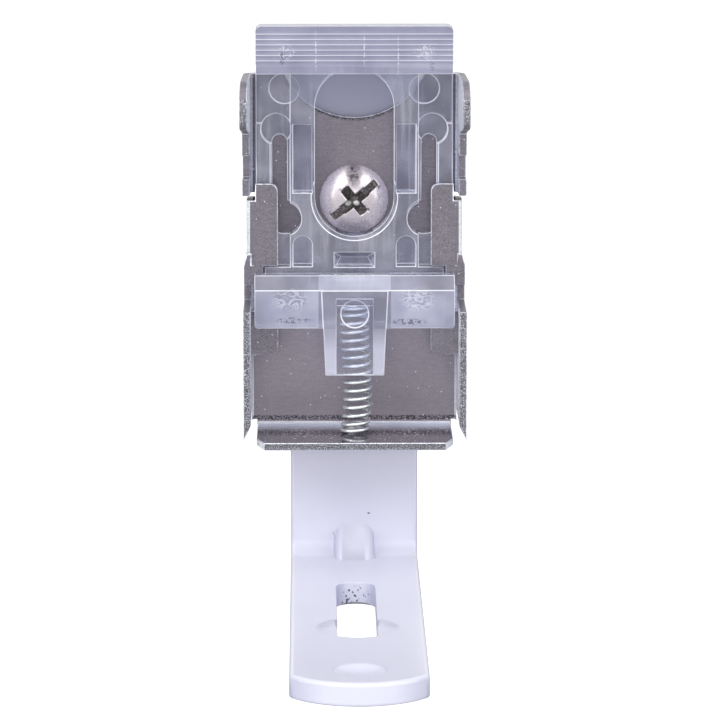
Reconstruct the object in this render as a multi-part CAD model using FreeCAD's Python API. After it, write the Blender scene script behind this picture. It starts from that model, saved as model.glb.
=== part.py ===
import FreeCAD, Part
import math
import os

# Wall bracket for a curtain track. A bent steel arm carries a folded steel clip, and a clear
# moulded slider inside the clip is pushed up by a small spring to lock the track in place.
# Frame: +X to the right, +Y towards the back of the arm, +Z up. The origin is the centre of
# the foot's slotted hole, on the foot's underside. All lengths are millimetres.
Vec = FreeCAD.Vector

# Arm: one strip of steel, bent to an L
arm_width = 17.2
arm_thickness = 3.0
arm_height = 72.4
arm_top_corner = 3.0
arm_bend_radius = 2.0
arm_edge_radius = 0.6
foot_reach = 32.5
foot_nose = 38.6
foot_nose_radius = 10.5

# Holes and pressed forms in the foot
slot_width = 5.1
slot_length = 30.8
dish_diameter = 10.5
dish_floor_diameter = 9.3
dish_depth = 0.5
dish_inset = 5.4
dimple_diameter = 6.6
dimple_depth = 0.8
dimple_inset = 7.0
dimple_rim_radius = 1.5
gusset_width = 5.4
gusset_leg = 4.1
gusset_edge_radius = 1.4
gusset_dent_width = 2.4

# Clip: one folded sheet. Its heights follow one another from the floor lip to the ears
sheet = 1.0
sheet_bend = 0.6
clip_width = 29.6
waist_inset = 0.4
track_plane = 4.0
jaw_depth = 12.0
clip_floor = 21.0
jaw_height = 17.5
lower_notch = 2.3
shoulder_height = 2.6
shoulder_slope = 1.6
waist_height = 7.2
slit = 0.6
ear_foot = 2.3
upper_notch = 3.1
notch_floor = 1.9
nose_rise = 3.0
nose_slope = 1.6
nose_tip_round = 1.2
ear_height = 6.0
ear_splay = 0.4
ear_round = 3.6
hollow_radius = 10.3
hollow_rise = 4.4
jaw_end_rise = 0.2
jaw_end_bevel = 2.0

# Tabs and floor lip of the clip
tab_length = 3.6
short_tab_length = 1.6
tab_corner = 1.1
upper_tab_rise = 2.3
lower_tab_drop = 1.1
lower_tab_height = 6.0
floor_side_gap = 0.7
floor_overhang = 0.4
floor_taper = 1.0
floor_taper_length = 3.3
relief_height = 0.8

# Clamp screw: pan head with a cross and a slot, threaded into the arm
screw_diameter = 5.0
screw_rise = 31.0
screw_protrusion = 2.0
screw_tip_chamfer = 0.6
head_diameter = 9.2
head_height = 3.0
head_flank = 0.9
head_slot_width = 1.0
head_slot_depth = 1.4
head_cross_width = 1.3
head_cross_length = 5.2
head_cross_depth = 2.4
head_cross_tip = 1.2
head_turn_degrees = 39.0
thread_gap = 0.05
screw_hole_gap = 0.25

# Slider: one clear moulding
slider_gap = 0.3
slider_travel = 4.0
web_thickness = 1.5
rail_width = 1.9
lip_rise = 0.4
lip_height = 6.4
lip_overhang = 0.6
lip_corner = 0.8
grip_ribs = 7
grip_pitch = 0.71
grip_depth = 0.14
window_side_gap = 0.65
window_rest_gap = 0.1
window_rise = 0.7
window_bevel = 0.5
beam_width = 3.3
pocket_wall = 0.35
pocket_floor = 1.0
pocket_drop = 6.8
pocket_height = 9.2
low_pocket_rise = 1.6
low_pocket_height = 4.1
centre_pocket_width = 5.4
centre_pocket_rise = 1.5
centre_pocket_height = 2.0
centre_pocket_lean = 0.9
centre_pocket_draft = 0.3
keyhole_side_gap = 0.4
keyhole_width = 2.0
keyhole_rise = 8.0
keyhole_length = 10.1
keyhole_round_radius = 2.25
keyhole_round_offset = 0.35
mark_radius = 2.05
mark_depth = 0.2
mark_upper_x = 9.3
mark_upper_drop = 2.2
mark_lower_x = 10.4
mark_lower_drop = 7.6
bar_side_gap = 0.5
bar_rise = 0.9
bar_height = 6.9
bar_depth = 4.0
bar_bevel_depth = 1.4
bar_bevel_height = 1.8
bar_corner = 0.5
bar_wall = 1.0
bar_hollow_side = 0.6
bar_hollow_width = 7.0
leg_length = 6.3
leg_wall_top = 1.9
leg_wall_bottom = 1.4
leg_front_wall = 0.7
seat_rise = 3.1
seat_mark_radius = 1.85
seat_mark_drop = 1.1

# Spring between the slider and the clip's floor
spring_diameter = 4.0
spring_wire = 0.55
spring_turns = 15
spring_closed_pitch = 0.6
spring_sections = 12
spring_sides = 6
spring_side_gap = 0.5
spring_front_gap = 0.35
spring_end_gap = 0.05

# Planes of the clip's back plate and its half widths
plate_front = foot_reach - sheet
plate_back = foot_reach
clip_half = clip_width / 2
inner_half = clip_half - sheet
waist_half = clip_half - waist_inset
floor_half = inner_half - floor_side_gap
tab_inner = inner_half - tab_length
short_tab_inner = inner_half - short_tab_length
floor_depth = jaw_depth + floor_overhang

# Heights of the clip, from the floor lip up
jaw_end = clip_floor + jaw_end_rise
jaw_top = clip_floor + jaw_height
lower_tab_top = jaw_top - lower_tab_drop
lower_tab_bottom = lower_tab_top - lower_tab_height
lower_notch_top = jaw_top + lower_notch
upper_tab_bottom = lower_notch_top + shoulder_height
waist_bottom = upper_tab_bottom + shoulder_slope
waist_top = waist_bottom + waist_height
upper_tab_top = waist_top + upper_tab_rise
upper_notch_bottom = waist_top + slit + ear_foot
upper_notch_top = upper_notch_bottom + upper_notch
nose_root = upper_notch_top + nose_rise
nose_tip = nose_root + nose_slope
clip_top = nose_tip + ear_height
screw_height = clip_floor + screw_rise

# Planes of the slider at rest, with its shoulders under the upper tabs
window_half = head_diameter / 2 + window_side_gap
beam_outer = window_half + beam_width
slider_half = waist_half - sheet - slider_gap
beam_front = track_plane - slider_gap
web_bottom = lower_tab_top + slider_travel + slider_gap
lip_bottom = clip_top + lip_rise
lip_top = lip_bottom + lip_height
lip_front = track_plane + lip_overhang
window_bottom = screw_height - head_diameter / 2 - window_rest_gap
window_top = lip_bottom + window_rise
bar_top = web_bottom + bar_rise
bar_bottom = bar_top - bar_height
bar_rear = track_plane + slider_gap
bar_front = bar_rear + bar_depth
leg_bottom = bar_bottom - leg_length
leg_front = bar_front + leg_front_wall / 2
channel_half = spring_diameter / 2 + spring_side_gap
channel_front = leg_front - leg_front_wall
leg_top_half = channel_half + leg_wall_top
leg_bottom_half = channel_half + leg_wall_bottom
seat_height = bar_bottom + seat_rise
spring_axis = channel_front - spring_front_gap - spring_diameter / 2

# Cutting tools pass the faces they cut by the overshoot, and reach past the whole part where
# their outer end doesn't matter
overshoot = 1.0
beyond = 40.0
tolerance = 0.001


def depth(distance):
    """Y of a plane that lies this far in front of the clip's back plate."""
    return plate_front - distance


def block(x_low, x_high, y_low, y_high, z_low, z_high):
    """Box between two corners."""
    return Part.makeBox(x_high - x_low, y_high - y_low, z_high - z_low, Vec(x_low, y_low, z_low))


def prism_along_x(points, x_low, x_high):
    """Prism of a Y-Z outline between two X planes."""
    wire = Part.makePolygon([Vec(x_low, y, z) for y, z in points + points[:1]])
    return Part.Face(wire).extrude(Vec(x_high - x_low, 0, 0))


def prism_along_y(points, y_low, y_high):
    """Prism of an X-Z outline between two Y planes."""
    wire = Part.makePolygon([Vec(x, y_low, z) for x, z in points + points[:1]])
    return Part.Face(wire).extrude(Vec(0, y_high - y_low, 0))


def prism_along_z(points, z_low, z_high):
    """Prism of an X-Y outline between two Z planes."""
    wire = Part.makePolygon([Vec(x, y, z_low) for x, y in points + points[:1]])
    return Part.Face(wire).extrude(Vec(0, 0, z_high - z_low))


def rod_along_y(radius, x, z, y_low, y_high):
    """Cylinder whose axis is parallel to Y."""
    return Part.makeCylinder(radius, y_high - y_low, Vec(x, y_low, z), Vec(0, 1, 0))


def edges_where(shape, test):
    """Edges whose two ends both pass the test."""
    return [edge for edge in shape.Edges if all(test(vertex.Point) for vertex in edge.Vertexes)]


def both_sides(shape):
    """The shape and its mirror image across the middle plane."""
    return shape.fuse(shape.mirror(Vec(0, 0, 0), Vec(1, 0, 0)))


def near(value, target):
    """True where a coordinate lies on a plane."""
    return abs(value - target) < tolerance


# Wall arm


def arm_strip():
    """The bent strip with its rounded foot end, top corners and softened edges."""
    half = arm_width / 2
    arm_back = foot_reach + arm_thickness
    nose_centre = foot_nose_radius - foot_nose
    outline = [(-foot_nose, 0), (arm_back, 0), (arm_back, arm_height),
               (foot_reach, arm_height), (foot_reach, arm_thickness), (-foot_nose, arm_thickness)]
    strip = prism_along_x(outline, -half, half)
    outer = edges_where(strip, lambda p: near(p.y, arm_back) and near(p.z, 0))
    strip = strip.makeFillet(arm_bend_radius + arm_thickness, outer)
    inner = edges_where(strip, lambda p: near(p.y, foot_reach) and near(p.z, arm_thickness))
    strip = strip.makeFillet(arm_bend_radius, inner)
    plan = Part.makeCylinder(foot_nose_radius, arm_height, Vec(0, nose_centre, 0))
    plan = plan.fuse(block(-half, half, nose_centre, arm_back, 0, arm_height))
    strip = strip.common(plan)
    corners = [edge for edge in edges_where(strip, lambda p: near(p.z, arm_height))
               if near(edge.Length, arm_thickness)]
    strip = strip.makeFillet(arm_top_corner, corners)
    foot_top = [face for face in strip.Faces if near(face.CenterOfMass.z, arm_thickness)]
    bend_start = foot_reach - arm_bend_radius
    rim = [edge for face in foot_top for edge in face.Edges if not near(edge.CenterOfMass.y, bend_start)]
    return strip.makeFillet(arm_edge_radius, rim)


def foot_slot():
    """Slotted hole through the foot."""
    radius = slot_width / 2
    straight = slot_length / 2 - radius
    slot = block(-radius, radius, -straight, straight, -overshoot, arm_thickness + overshoot)
    for end in (-straight, straight):
        slot = slot.fuse(Part.makeCylinder(radius, arm_thickness + 2 * overshoot, Vec(0, end, -overshoot)))
    return slot


def foot_dish():
    """Shallow seat for a screw head, pressed round the near end of the slot."""
    floor = Vec(0, dish_inset - slot_length / 2, arm_thickness - dish_depth)
    return Part.makeCone(dish_floor_diameter / 2, dish_diameter / 2, dish_depth, floor)


def foot_dimple():
    """Round dimple near the rounded end: the lowest part of a ball."""
    half = dimple_diameter / 2
    ball = (half ** 2 + dimple_depth ** 2) / (2 * dimple_depth)
    centre = Vec(0, dimple_inset - foot_nose, arm_thickness - dimple_depth + ball)
    rise = math.degrees(math.asin((overshoot + dimple_depth - ball) / ball))
    return Part.makeSphere(ball, centre, Vec(0, 0, 1), -90, rise, 360)


def corner_gusset():
    """Short rib pressed into the inside of the bend."""
    half = gusset_width / 2
    low = arm_thickness - arm_edge_radius
    deep = foot_reach + arm_edge_radius
    outline = [(foot_reach - gusset_leg, arm_thickness), (foot_reach - gusset_leg, low), (deep, low),
               (deep, arm_thickness + gusset_leg), (foot_reach, arm_thickness + gusset_leg)]
    rib = prism_along_x(outline, -half, half)
    ridge = [edge for edge in edges_where(rib, lambda p: near(abs(p.x), half) and p.z > low + tolerance)
             if near(edge.Length, gusset_leg * math.sqrt(2))]
    return rib.makeFillet(gusset_edge_radius, ridge)


def gusset_dent():
    """The hollow that pressing the rib leaves in the outside of the bend."""
    rib_face = foot_reach - gusset_leg - arm_thickness
    dent_face = rib_face + arm_thickness * math.sqrt(2)
    half = gusset_dent_width / 2
    outline = [(dent_face, 0), (dent_face + beyond, 0), (dent_face + beyond, beyond)]
    wedge = prism_along_x(outline, -half, half)
    return wedge.common(block(-half, half, 0, foot_reach + beyond, -overshoot, beyond))


def build_wall_arm():
    """Arm with its slot, dish, dimple, rib and tapped hole."""
    arm = arm_strip().fuse(corner_gusset())
    hole = rod_along_y(screw_diameter / 2 + thread_gap, 0, screw_height, foot_reach - overshoot,
                       foot_reach + arm_thickness + overshoot)
    for tool in (foot_slot(), foot_dish(), foot_dimple(), gusset_dent(), hole):
        arm = arm.cut(tool)
    arm = arm.removeSplitter()
    rim = [edge for edge in edges_where(arm, lambda p: near(p.z, arm_thickness))
           if near(edge.CenterOfMass.y, dimple_inset - foot_nose) and near(edge.CenterOfMass.x, 0)]
    return arm.makeFillet(dimple_rim_radius, rim)


# Clip


def channel(outer_half, front, z_low, z_high, splay=0.0):
    """Length of U channel: back plate and two side walls, with bent corners."""
    hollow_half = outer_half - sheet
    outer = prism_along_z([(-outer_half, plate_back), (-outer_half - splay, depth(front)),
                           (outer_half + splay, depth(front)), (outer_half, plate_back)], z_low, z_high)
    past = depth(front) - overshoot
    inner = prism_along_z([(-hollow_half, plate_front), (-hollow_half - splay, past),
                           (hollow_half + splay, past), (hollow_half, plate_front)], z_low, z_high)
    outer_bends = [edge for edge in edges_where(outer, lambda p: near(p.y, plate_back))
                   if near(edge.Length, z_high - z_low)]
    inner_bends = [edge for edge in edges_where(inner, lambda p: near(p.y, plate_front))
                   if near(edge.Length, z_high - z_low)]
    outer = outer.makeFillet(sheet_bend + sheet, outer_bends)
    inner = inner.makeFillet(sheet_bend, inner_bends)
    return outer.cut(inner)


def ear_zone():
    """Hooked ears at the top: a nose reaches forward over a notch for the track's rib."""
    zone = channel(clip_half, jaw_depth, waist_top + slit, clip_top, ear_splay)
    side = [(plate_back, waist_top), (depth(track_plane), waist_top),
            (depth(track_plane), nose_root), (depth(jaw_depth), nose_tip),
            (depth(jaw_depth), clip_top), (plate_back, clip_top)]
    outline = prism_along_x(side, -beyond, beyond)
    top_edge = edges_where(outline, lambda p: near(p.y, depth(jaw_depth)) and near(p.z, clip_top))
    outline = outline.makeFillet(ear_round, top_edge)
    tip_edge = edges_where(outline, lambda p: near(p.y, depth(jaw_depth)) and near(p.z, nose_tip))
    outline = outline.makeFillet(nose_tip_round, tip_edge)
    zone = zone.common(outline)
    notch = block(-beyond, beyond, depth(track_plane + overshoot), depth(notch_floor),
                  upper_notch_bottom, upper_notch_top)
    return zone.cut(notch)


def waist_zone():
    """Narrower middle of the clip, where the side walls fold over into the upper tabs."""
    zone = channel(waist_half, track_plane, upper_tab_bottom, waist_top)
    front = depth(track_plane)
    tab = block(tab_inner, waist_half, front, front + sheet, upper_tab_bottom, waist_top)
    zone = zone.fuse(both_sides(tab)).removeSplitter()
    rounds = edges_where(zone, lambda p: near(abs(p.x), waist_half) and near(p.y, front))
    zone = zone.makeFillet(sheet_bend + sheet / 2, rounds)
    upper = block(tab_inner, inner_half - slit, front, front + sheet, waist_top, upper_tab_top)
    corner = edges_where(upper, lambda p: near(p.x, tab_inner) and near(p.z, upper_tab_top))
    return zone.fuse(both_sides(upper.makeFillet(tab_corner, corner)))


def shoulder_zone():
    """Below the waist the side walls step out again and end in short tabs over a notch."""
    front = depth(track_plane)
    zone = channel(clip_half, track_plane, jaw_top, waist_bottom)
    slope = [(waist_half, waist_bottom), (clip_half, upper_tab_bottom), (beyond, upper_tab_bottom),
             (beyond, waist_bottom)]
    zone = zone.cut(both_sides(prism_along_y(slope, depth(beyond), plate_back + overshoot)))
    tab = block(short_tab_inner, clip_half - sheet / 2, front, front + sheet,
                lower_notch_top, upper_tab_bottom)
    zone = zone.fuse(both_sides(tab))
    notch = block(-beyond, beyond, front - overshoot, depth(notch_floor), jaw_top, lower_notch_top)
    return zone.cut(notch)


def jaw_zone():
    """Deep side walls at the bottom, with tabs pressed inwards out of them."""
    front = depth(track_plane)
    zone = channel(clip_half, jaw_depth, clip_floor, jaw_top)
    below = clip_floor - overshoot
    bevel = [(inner_half, jaw_end + jaw_end_bevel), (clip_half, jaw_end), (clip_half, below),
             (floor_half, below), (floor_half, clip_floor + relief_height),
             (inner_half, clip_floor + relief_height)]
    zone = zone.cut(both_sides(prism_along_y(bevel, depth(beyond), plate_back + overshoot)))
    window = block(inner_half - overshoot, clip_half + overshoot, front - tab_length, front,
                   lower_tab_bottom, lower_tab_top)
    zone = zone.cut(both_sides(window))
    tab = block(tab_inner, clip_half - sheet / 2, front, front + sheet, lower_tab_bottom, lower_tab_top)
    corners = edges_where(tab, lambda p: near(p.x, tab_inner))
    corners = [edge for edge in corners if near(edge.Length, sheet)]
    return zone.fuse(both_sides(tab.makeFillet(tab_corner, corners)))


def floor_lip():
    """Bottom lip that the spring stands on, folded forward from the back plate."""
    half = floor_half
    front = depth(floor_depth)
    outline = [(plate_back, clip_floor + relief_height), (plate_back, clip_floor - sheet),
               (front, clip_floor - sheet), (front, clip_floor), (plate_front, clip_floor),
               (plate_front, clip_floor + relief_height)]
    lip = prism_along_x(outline, -half, half)
    outer = edges_where(lip, lambda p: near(p.y, plate_back) and near(p.z, clip_floor - sheet))
    lip = lip.makeFillet(sheet_bend + sheet, outer)
    inner = edges_where(lip, lambda p: near(p.y, plate_front) and near(p.z, clip_floor))
    lip = lip.makeFillet(sheet_bend, inner)
    past = front - overshoot
    corner = [(half, front + floor_taper_length), (half + overshoot, front + floor_taper_length),
              (half + overshoot, past), (half - floor_taper, past), (half - floor_taper, front)]
    taper = prism_along_z(corner, clip_floor - sheet - overshoot, clip_floor + overshoot)
    return lip.cut(both_sides(taper))


def plate_hollow():
    """Round hollow in the back plate's top edge."""
    return rod_along_y(hollow_radius, 0, clip_top + hollow_rise, plate_front - overshoot,
                       plate_back + overshoot)


def build_housing():
    """The folded clip."""
    clip = ear_zone()
    for zone in (waist_zone(), shoulder_zone(), jaw_zone(), floor_lip()):
        clip = clip.fuse(zone)
    inner = inner_half - sheet_bend
    slit_fill = block(-inner, inner, plate_front, plate_back, waist_top, waist_top + slit)
    hole = rod_along_y(screw_diameter / 2 + screw_hole_gap, 0, screw_height, plate_front - overshoot,
                       plate_back + overshoot)
    clip = clip.fuse(slit_fill)
    for tool in (plate_hollow(), hole):
        clip = clip.cut(tool)
    return clip.removeSplitter()


# Clamp screw


def build_clamp_screw():
    """Pan head screw that holds the clip to the arm."""
    radius = head_diameter / 2
    rise = head_height - head_flank
    crown = (radius ** 2 + rise ** 2) / (2 * rise)
    base = plate_front
    dome = Part.makeSphere(crown, Vec(0, base - head_height + crown, screw_height))
    head = rod_along_y(radius, 0, screw_height, base - head_height, base).common(dome)
    end = plate_back + arm_thickness + screw_protrusion
    shank = rod_along_y(screw_diameter / 2, 0, screw_height, base - head_flank, end)
    tip = edges_where(shank, lambda p: near(p.y, end))
    tip = [edge for edge in tip if edge.Length > screw_diameter]
    screw = head.fuse(shank.makeChamfer(screw_tip_chamfer, tip))
    face = base - head_height
    above = face - overshoot
    slot = block(-radius - overshoot, radius + overshoot, above, face + head_slot_depth,
                 screw_height - head_slot_width / 2, screw_height + head_slot_width / 2)
    cross = block(-head_cross_width / 2, head_cross_width / 2, above, face + head_cross_depth,
                  screw_height - head_cross_length / 2, screw_height + head_cross_length / 2)
    wide = block(-head_cross_length / 2, head_cross_length / 2, above, face + head_cross_depth,
                 screw_height - head_cross_width / 2, screw_height + head_cross_width / 2)
    taper = Part.makeCone(head_cross_length / 2, head_cross_tip / 2, head_cross_depth,
                          Vec(0, face, screw_height), Vec(0, 1, 0))
    mouth = rod_along_y(head_cross_length / 2, 0, screw_height, above, face)
    recess = slot.fuse(cross.fuse(wide).common(taper.fuse(mouth)))
    recess.rotate(Vec(0, 0, screw_height), Vec(0, 1, 0), -head_turn_degrees)
    return screw.cut(recess)


# Slider


def window_shape(half, front, back, low, high):
    """Long hole with a round end at the top and bottom."""
    hole = block(-half, half, depth(front), depth(back), low + half, high - half)
    for height in (low + half, high - half):
        hole = hole.fuse(rod_along_y(half, 0, height, depth(front), depth(back)))
    return hole


def window_rim():
    """Bevel round the window's lower end, on the front of the beams."""
    centre = Vec(0, depth(beam_front), window_bottom + window_half)
    return Part.makeCone(window_half + window_bevel, window_half, window_bevel, centre, Vec(0, 1, 0))


def slider_plate():
    """Flat web with thick side rails that run under the tabs."""
    rear = depth(slider_gap)
    rail_front = depth(beam_front - sheet)
    web = block(-slider_half, slider_half, depth(slider_gap + web_thickness), rear, web_bottom, lip_bottom)
    rail = block(slider_half - rail_width, slider_half, rail_front, rear,
                 web_bottom, lip_bottom - pocket_drop)
    return web.fuse(both_sides(rail))


def slider_beams():
    """Two beams beside the window, joined below it, up to the finger lip."""
    return block(-beam_outer, beam_outer, depth(beam_front), depth(slider_gap),
                 bar_bottom, lip_top - lip_corner)


def slider_lip():
    """Ribbed finger lip across the top."""
    half = slider_half
    low = lip_bottom
    front = depth(lip_front)
    points = [(depth(web_thickness), low), (depth(web_thickness), lip_top), (front, lip_top)]
    first = lip_top - grip_pitch / 2
    for rib in range(grip_ribs):
        top = first - rib * grip_pitch
        points.append((front, top))
        points.append((front + grip_depth, top - grip_pitch / 2))
    points.append((front, first - grip_ribs * grip_pitch))
    points.append((front, low))
    lip = prism_along_x(points, -half, half)
    side = [(-half, low), (-half, lip_top), (half, lip_top), (half, low)]
    frame = prism_along_y(side, depth(lip_front + overshoot), depth(0))
    corners = [edge for edge in edges_where(frame, lambda p: near(p.z, lip_top))
               if near(edge.Length, lip_front + overshoot)]
    return lip.common(frame.makeFillet(lip_corner, corners))


def slider_bar():
    """Crossbar that catches the track, with its bevelled top edge."""
    half = inner_half - bar_side_gap
    rear = depth(bar_rear)
    outline = [(rear, bar_bottom), (rear, bar_top), (depth(bar_front - bar_bevel_depth), bar_top),
               (depth(bar_front), bar_top - bar_bevel_height), (depth(bar_front), bar_bottom)]
    bar = prism_along_x(outline, -half, half)
    corners = [edge for edge in edges_where(bar, lambda p: near(abs(p.x), half))
               if near(edge.Length, bar_depth)]
    bar = bar.makeFillet(bar_corner, corners)
    inner = leg_top_half + bar_hollow_side
    hollow = block(inner, inner + bar_hollow_width, depth(bar_front - bar_wall), rear - bar_wall,
                   bar_bottom - overshoot, bar_top - bar_bevel_height - bar_wall)
    return bar.cut(both_sides(hollow))


def slider_stop():
    """Small shoulders that rest under the upper tabs and land on the lower ones."""
    outer = short_tab_inner - slider_gap
    high = upper_tab_bottom - slider_gap / 2
    return both_sides(block(beam_outer, outer, depth(beam_front), depth(slider_gap), web_bottom, high))


def slider_legs():
    """Sleeve with two tapered legs that guides the spring below the crossbar, and its bore."""
    outline = [(-leg_top_half, bar_top - bar_bevel_height), (leg_top_half, bar_top - bar_bevel_height),
               (leg_bottom_half, leg_bottom), (-leg_bottom_half, leg_bottom)]
    legs = prism_along_y(outline, depth(leg_front), depth(track_plane - sheet))
    bore = block(-channel_half, channel_half, depth(channel_front), depth(0),
                 leg_bottom - overshoot, seat_height)
    face = depth(leg_front)
    mark_height = seat_height - seat_mark_drop
    mark = rod_along_y(seat_mark_radius, 0, mark_height, face - overshoot, face + mark_depth)
    return legs, bore.fuse(mark)


def keyhole(side):
    """Slot that widens to a round hole, beside each beam."""
    low = web_bottom + keyhole_rise
    high = low + keyhole_length
    radius = keyhole_width / 2
    inner = beam_outer + keyhole_side_gap
    middle = side * (inner + radius)
    front = depth(track_plane)
    slot = block(middle - radius, middle + radius, front, plate_front, low, high)
    slot = slot.fuse(rod_along_y(radius, middle, high, front, plate_front))
    centre = side * (inner + keyhole_round_offset)
    wide_end = rod_along_y(keyhole_round_radius, centre, low, front, plate_front)
    return slot.fuse(wide_end)


def beam_pockets():
    """Pockets that lighten one beam, above and below."""
    inner = window_half + pocket_wall
    outer = beam_outer - pocket_wall
    front = depth(track_plane)
    floor = depth(slider_gap + pocket_floor)
    high = lip_bottom - pocket_drop
    upper = block(inner, outer, front, floor, high - pocket_height, high)
    middle = (inner + outer) / 2
    radius = (outer - inner) / 2
    low = web_bottom + low_pocket_rise
    arch = low + low_pocket_height - radius
    lower = block(inner, outer, front, floor, low, arch)
    lower = lower.fuse(rod_along_y(radius, middle, arch, front, floor))
    return both_sides(upper.fuse(lower))


def centre_pocket():
    """Pocket below the window, whose walls lean in towards a smaller floor."""
    half = centre_pocket_width / 2
    low = web_bottom + centre_pocket_rise
    high = low + centre_pocket_height
    foot = half - centre_pocket_draft
    head = half - centre_pocket_lean
    ledge = high - centre_pocket_lean
    face = depth(beam_front)
    floor = depth(slider_gap + pocket_floor)
    rim = [Vec(-half, face, low), Vec(half, face, low), Vec(half, face, high), Vec(-half, face, high)]
    base = [Vec(-foot, floor, low), Vec(foot, floor, low), Vec(head, floor, ledge),
            Vec(-head, floor, ledge)]
    walls = [Part.makePolygon(points + points[:1]) for points in (rim, base)]
    mouth = block(-half, half, depth(track_plane), face, low, high)
    return mouth.fuse(Part.makeLoft(walls, True, True))


def mould_marks():
    """Shallow round marks left on the web by the mould's pins."""
    face = depth(slider_gap + web_thickness)
    above = face - overshoot
    upper = rod_along_y(mark_radius, mark_upper_x, lip_bottom - mark_upper_drop, above, face + mark_depth)
    lower = rod_along_y(mark_radius, mark_lower_x, lip_bottom - mark_lower_drop, above, face + mark_depth)
    return both_sides(upper.fuse(lower))


def build_release_slider():
    """The clear slider."""
    legs, bore = slider_legs()
    slider = slider_plate()
    for piece in (slider_beams(), slider_lip(), slider_bar(), slider_stop(), legs):
        slider = slider.fuse(piece)
    window = window_shape(window_half, lip_front + overshoot, 0, window_bottom, window_top)
    behind_lip = block(-beyond, beyond, depth(lip_front + overshoot), depth(beam_front),
                       lip_bottom, lip_top + overshoot)
    window = window.cut(behind_lip)
    tools = [window, window_rim(), centre_pocket(), beam_pockets(), mould_marks(), bore]
    for tool in tools + [keyhole(-1), keyhole(1)]:
        slider = slider.cut(tool)
    return slider.removeSplitter()


# Return spring


def wire_section(turn, height):
    """Cross section of the spring's wire, so many turns along the coil."""
    radius = (spring_diameter - spring_wire) / 2
    points = []
    for side in range(spring_sides + 1):
        angle = 2 * math.pi * side / spring_sides
        points.append(Vec(radius + spring_wire / 2 * math.cos(angle), 0, spring_wire / 2 * math.sin(angle)))
    section = Part.makePolygon(points)
    section.rotate(Vec(0, 0, 0), Vec(0, 0, 1), 360 * turn)
    section.translate(Vec(0, depth(spring_axis), height))
    return section


def build_return_spring():
    """Coil spring with closed end turns, between the clip's floor and the slider."""
    low = clip_floor + spring_end_gap + spring_wire / 2
    high = seat_height - spring_end_gap - spring_wire / 2
    open_pitch = (high - low - 2 * spring_closed_pitch) / (spring_turns - 2)
    height = low
    sections = []
    for step in range(spring_turns * spring_sections + 1):
        turn = step / spring_sections
        sections.append(wire_section(turn, height))
        closed = turn < 1 or turn >= spring_turns - 1
        height += (spring_closed_pitch if closed else open_pitch) / spring_sections
    return Part.makeLoft(sections, True, True)


nodes = {
    "wall_arm": build_wall_arm(),
    "housing": build_housing(),
    "clamp_screw": build_clamp_screw(),
    "release_slider": build_release_slider(),
    "return_spring": build_return_spring(),
}
os.makedirs("parts", exist_ok=True)
for name, shape in nodes.items():
    print(name, "solids", len(shape.Solids), "valid", shape.isValid(), "volume", round(shape.Volume, 2))
    shape.exportStep(os.path.join("parts", name + ".step"))
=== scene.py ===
import math
from itertools import combinations

import bmesh
import bpy
from mathutils import Matrix, Vector


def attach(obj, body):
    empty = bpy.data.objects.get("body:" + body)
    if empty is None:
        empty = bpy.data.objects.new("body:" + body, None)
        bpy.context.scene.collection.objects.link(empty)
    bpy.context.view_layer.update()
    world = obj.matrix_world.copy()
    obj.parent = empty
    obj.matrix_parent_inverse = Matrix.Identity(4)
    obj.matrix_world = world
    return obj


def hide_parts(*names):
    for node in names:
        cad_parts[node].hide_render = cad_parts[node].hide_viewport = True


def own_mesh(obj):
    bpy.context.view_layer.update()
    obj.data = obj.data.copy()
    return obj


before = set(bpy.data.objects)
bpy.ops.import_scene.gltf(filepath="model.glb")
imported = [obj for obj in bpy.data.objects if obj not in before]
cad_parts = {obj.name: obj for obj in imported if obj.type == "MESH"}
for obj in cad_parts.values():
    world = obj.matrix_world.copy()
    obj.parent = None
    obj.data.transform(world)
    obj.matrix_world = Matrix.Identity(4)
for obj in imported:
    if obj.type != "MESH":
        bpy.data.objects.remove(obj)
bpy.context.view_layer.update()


# Wall arm
# One strip of 3 mm steel bent to an L, powder coated in a cool white that rounds every edge
# and pools a little in the corner rib, the dimple and the screw slot. Its colour holds painted
# shade in thin rings round the dish and the dimple, on the arm's sides and behind the clip.
arm_front = 0.0325
foot_top = 0.003
slot_far_wall = 0.0152
dish_centre = (0.0, -0.010, foot_top)
dish_radius = 0.00525
dimple_centre = (0.0, -0.0316, foot_top)
dimple_radius = 0.0033
pressed_side = 0.0056    # the slot, the dish and the dimple lie within these bounds
pressed_start = -0.0356
pressed_end = 0.0156
coat_rounding = 0.0005
slot_rounding = 0.00015
any_width = 1.0          # a spread that leaves a mask without an end on its axis
black = (0, 0, 0)
white = (1, 1, 1)


def grey(level):
    return (level, level, level)


def merged_mesh(node):
    """A solid's mesh with its doubled vertices merged and its normals outward."""
    work = bmesh.new()
    work.from_mesh(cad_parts[node].data)
    bmesh.ops.remove_doubles(work, verts=work.verts, dist=2e-6)
    bmesh.ops.recalc_face_normals(work, faces=work.faces)
    return work


def new_object(work, name):
    """The worked mesh as an object of the scene."""
    mesh = bpy.data.meshes.new(name)
    work.to_mesh(mesh)
    work.free()
    made = bpy.data.objects.new(name, mesh)
    bpy.context.scene.collection.objects.link(made)
    return made


def placed(work, piece, node):
    """The worked mesh as an object that stands in for the solid."""
    for face in work.faces:
        face.smooth = True
    made = new_object(work, piece)
    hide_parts(node)
    return made


def level_shading(piece, sharp_degrees):
    """Edges past an angle stay sharp, and large faces stay flat where they run into bends."""
    piece.data.set_sharp_from_angle(angle=math.radians(sharp_degrees))
    even = piece.modifiers.new("even_shading", "WEIGHTED_NORMAL")
    even.mode = "FACE_AREA"
    even.weight = 100
    even.keep_sharp = True


def join_flat_faces(work, delimit=()):
    """Joins the triangles of each flat face, apart from where the delimit keeps them."""
    bmesh.ops.dissolve_limit(work, angle_limit=math.radians(1), verts=work.verts, edges=work.edges,
                             delimit=set(delimit))


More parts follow.
